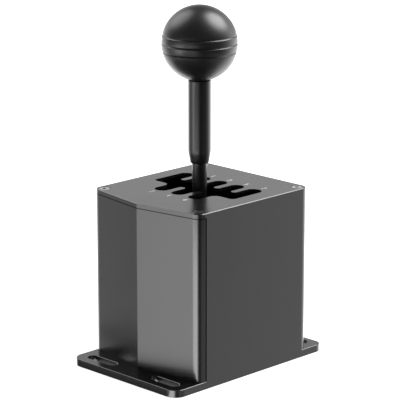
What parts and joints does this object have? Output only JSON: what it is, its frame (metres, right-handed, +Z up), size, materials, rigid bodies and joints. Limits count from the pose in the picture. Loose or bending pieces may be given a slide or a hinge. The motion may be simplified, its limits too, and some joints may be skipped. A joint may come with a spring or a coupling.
{
  "type": "gear shifter",
  "caption": "H-pattern gear shifter for a driving rig: a ball-topped lever in a slotted gate, on a metal box with a bolt-down flange, over sprung pivots and angle sensors.",
  "frame": {"origin": "centre of the flange's underside, on the surface that the shifter is bolted to", "axes": "+Z up along the lever in neutral, -Y towards the driver, X across the shifter"},
  "size_m": [0.1, 0.142, 0.2418],
  "materials": {
    "casing_black": "satin black powder coat, smooth",
    "lever_black": "satin black finish on turned steel",
    "knob_black": "satin black plastic, turned smooth",
    "screw_steel": "plain steel screw heads",
    "screw_black": "black oxide on steel screws",
    "machined_aluminium": "machined, clear anodised",
    "ground_steel": "ground shafts and pins",
    "bearing_steel": "polished rings and balls",
    "spring_steel": "drawn spring wire",
    "zinc_steel": "zinc plated screws and clips",
    "bronze": "plain bearing bronze",
    "insert_brass": "turned brass",
    "magnet_nickel": "nickel plated magnet",
    "board_green": "green lacquered circuit board",
    "socket_steel": "stamped, plated shell",
    "socket_black": "black moulded plastic",
    "post_nylon": "natural nylon"
  },
  "bodies": {
    "root": {"housing": "casing_black", "front_cover": "casing_black", "gate_plate": "casing_black", "gate_plate_screws": "screw_steel", "front_cover_screws": "screw_black", "bearing_block_front": "machined_aluminium", "bearing_block_rear": "machined_aluminium", "bearing_block_screws": "screw_black", "select_bearing_front": "bearing_steel", "select_bearing_rear": "bearing_steel", "spring_guide_left": "bronze", "spring_guide_right": "bronze", "centring_spring_left": "spring_steel", "centring_spring_right": "spring_steel", "select_sensor_board": "board_green", "select_board_posts": "post_nylon", "select_board_screws": "zinc_steel", "main_board": "board_green", "board_screws": "zinc_steel", "usb_socket": "socket_steel", "data_socket": "socket_black"},
    "cradle": {"cradle": "machined_aluminium", "select_shaft_front": "ground_steel", "select_shaft_rear": "ground_steel", "shaft_spacers": "ground_steel", "shaft_set_screws": "screw_black", "detent_track": "ground_steel", "detent_track_screws": "screw_black", "select_magnet": "magnet_nickel", "pin_bush_left": "bronze", "pin_bush_right": "bronze", "shift_sensor_board": "board_green", "shift_board_posts": "post_nylon", "shift_board_screws": "zinc_steel"},
    "lever": {"lever_block": "machined_aluminium", "block_lock_screws": "screw_black", "lever_lock_nut": "screw_black", "lever_rod": "lever_black", "knob": "knob_black", "knob_insert": "insert_brass", "shift_pin": "ground_steel", "shift_magnet": "magnet_nickel", "pin_clips": "zinc_steel", "detent_spring": "spring_steel"},
    "detent_plunger": {"detent_plunger": "ground_steel"},
    "centring_plunger_left": {"centring_plunger_left": "ground_steel"},
    "centring_plunger_right": {"centring_plunger_right": "ground_steel"}
  },
  "joints": [
    {"name": "select", "type": "hinge", "parent": "root", "child": "cradle", "pos_m": [0, 0.001, 0.028], "axis": [0, 1, 0], "range_deg": [-10, 10], "stiffness_Nm_per_rad": 7},
    {"name": "shift", "type": "hinge", "parent": "cradle", "child": "lever", "pos_m": [0, 0.001, 0.05], "axis": [1, 0, 0], "range_deg": [-15, 15]},
    {"name": "detent_drop", "type": "slide", "parent": "lever", "child": "detent_plunger", "axis": [0, 0, -1], "range_m": [0, 0.0008], "stiffness_N_per_m": 300, "springref_m": 0.006, "deforming": ["detent_spring"]},
    {"name": "centring_left", "type": "slide", "parent": "root", "child": "centring_plunger_left", "axis": [0, 0, 1], "range_m": [-0.0048, 0.0048], "deforming": ["centring_spring_left"]},
    {"name": "centring_right", "type": "slide", "parent": "root", "child": "centring_plunger_right", "axis": [0, 0, 1], "range_m": [-0.0048, 0.0048], "deforming": ["centring_spring_right"]}
  ],
  "couplings": [
    {"joint": "centring_left", "follows": "select", "m_per_rad": 0.027},
    {"joint": "centring_right", "follows": "select", "m_per_rad": -0.027}
  ]
}
